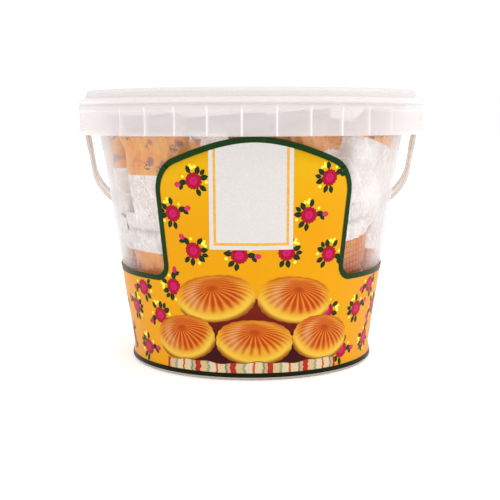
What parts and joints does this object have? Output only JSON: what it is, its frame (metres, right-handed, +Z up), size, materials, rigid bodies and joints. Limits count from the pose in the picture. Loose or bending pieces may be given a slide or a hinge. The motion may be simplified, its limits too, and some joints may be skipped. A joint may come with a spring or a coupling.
{
  "type": "lidded plastic pail of wrapped filled shortbreads",
  "caption": "Round clear plastic pail with a press-fit lid, ribbed collar, swinging strap handle and printed label, filled with flow-wrapped date-filled shortbreads.",
  "frame": {"origin": "centre of the circle that the foot stands on, at floor level", "axes": "+Z up through the lid; -Y towards the middle of the label's front arch; +X along the handle's pivots"},
  "size_m": [0.1926, 0.1946, 0.15],
  "materials": {
    "tub_plastic": "clear, slightly milky moulded plastic",
    "lid_plastic": "clear, slightly milky moulded plastic",
    "label_print": "satin printed film, golden yellow with a green border and flowers",
    "pack_film": "thin crinkled wrapping film, orange print on a whitish clear ground",
    "strap_plastic": "satin, slightly see-through moulded plastic"
  },
  "bodies": {
    "tub": {"tub": "tub_plastic", "collar": "tub_plastic", "lid": "lid_plastic", "label": "label_print", "contents": "pack_film"},
    "bail": {"handle": "strap_plastic"}
  },
  "joints": [
    {"name": "bail_hinge", "type": "hinge", "parent": "tub", "child": "bail", "pos_m": [0, 0, 0.137], "axis": [1, 0, 0], "range_deg": [0, 268]}
  ]
}
